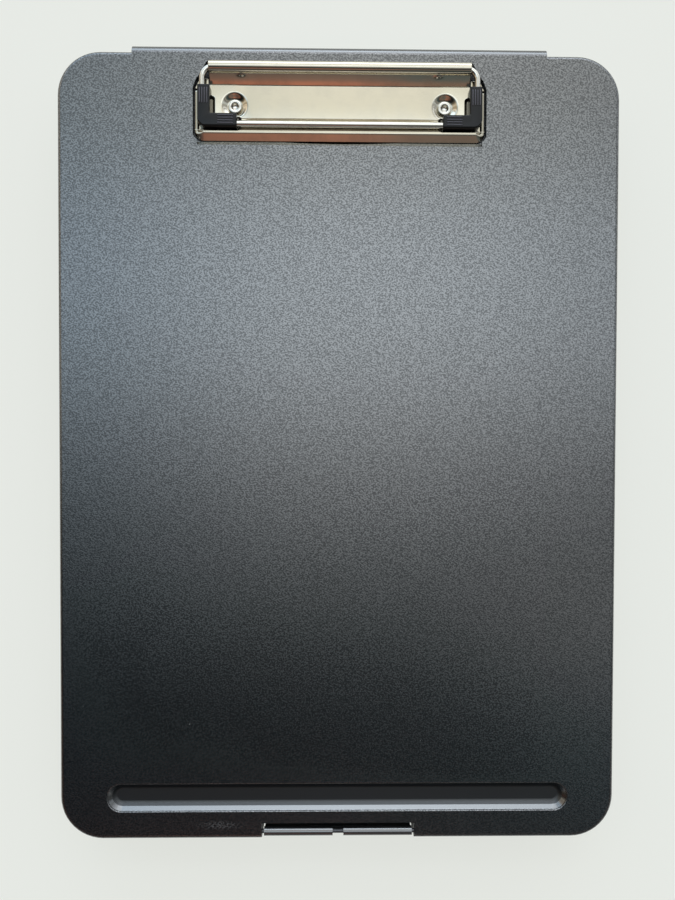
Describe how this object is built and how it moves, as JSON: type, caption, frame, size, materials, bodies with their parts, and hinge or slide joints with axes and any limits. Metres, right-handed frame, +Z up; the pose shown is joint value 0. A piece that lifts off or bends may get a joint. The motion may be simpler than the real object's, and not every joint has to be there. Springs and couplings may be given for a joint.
{
  "type": "storage clipboard box",
  "caption": "Flat hinged plastic box for papers with a low-profile wire clip and a pen groove on its lid, and a front latch flap.",
  "frame": {"origin": "bottom centre of the closed box's bounding box, on the surface it lies on", "axes": "+X to the right and +Y towards the hinged rear edge for someone writing on the lid, +Z up"},
  "size_m": [0.241, 0.3416, 0.0289],
  "materials": {
    "tray_plastic": "black moulded plastic, fine grain",
    "lid_plastic": "black moulded plastic, fine leathery grain, smooth in the pen groove and on the hinge hood",
    "latch_plastic": "black satin moulded plastic",
    "pin_steel": "drawn rod",
    "clip_chrome": "bright plated sheet",
    "wire_chrome": "bright plated wire",
    "grip_rubber": "satin black",
    "rivet_chrome": "bright plated",
    "washer_steel": "plain plated"
  },
  "bodies": {
    "tray": {"bottom_tray": "tray_plastic", "hinge_pin": "pin_steel"},
    "lid": {"lid_shell": "lid_plastic", "clip_base_plate": "clip_chrome", "clip_rivet_left": "rivet_chrome", "clip_rivet_right": "rivet_chrome", "rivet_washer_left": "washer_steel", "rivet_washer_right": "washer_steel", "latch_pin": "pin_steel"},
    "latch": {"latch_flap": "latch_plastic"},
    "bail": {"wire_bail": "wire_chrome", "rubber_corner_left": "grip_rubber", "rubber_corner_right": "grip_rubber"}
  },
  "joints": [
    {"name": "lid_hinge", "type": "hinge", "parent": "tray", "child": "lid", "pos_m": [0, 0.16758, 0.0213], "axis": [-1, 0, 0], "range_deg": [0, 110]},
    {"name": "latch_hinge", "type": "hinge", "parent": "lid", "child": "latch", "pos_m": [0, -0.1684, 0.0234], "axis": [-1, 0, 0], "range_deg": [0, 80]},
    {"name": "bail_hinge", "type": "hinge", "parent": "lid", "child": "bail", "pos_m": [0, 0.1613, 0.0263], "axis": [-1, 0, 0], "range_deg": [0, 80], "stiffness_Nm_per_rad": 0.12, "springref_deg": -68.75}
  ]
}
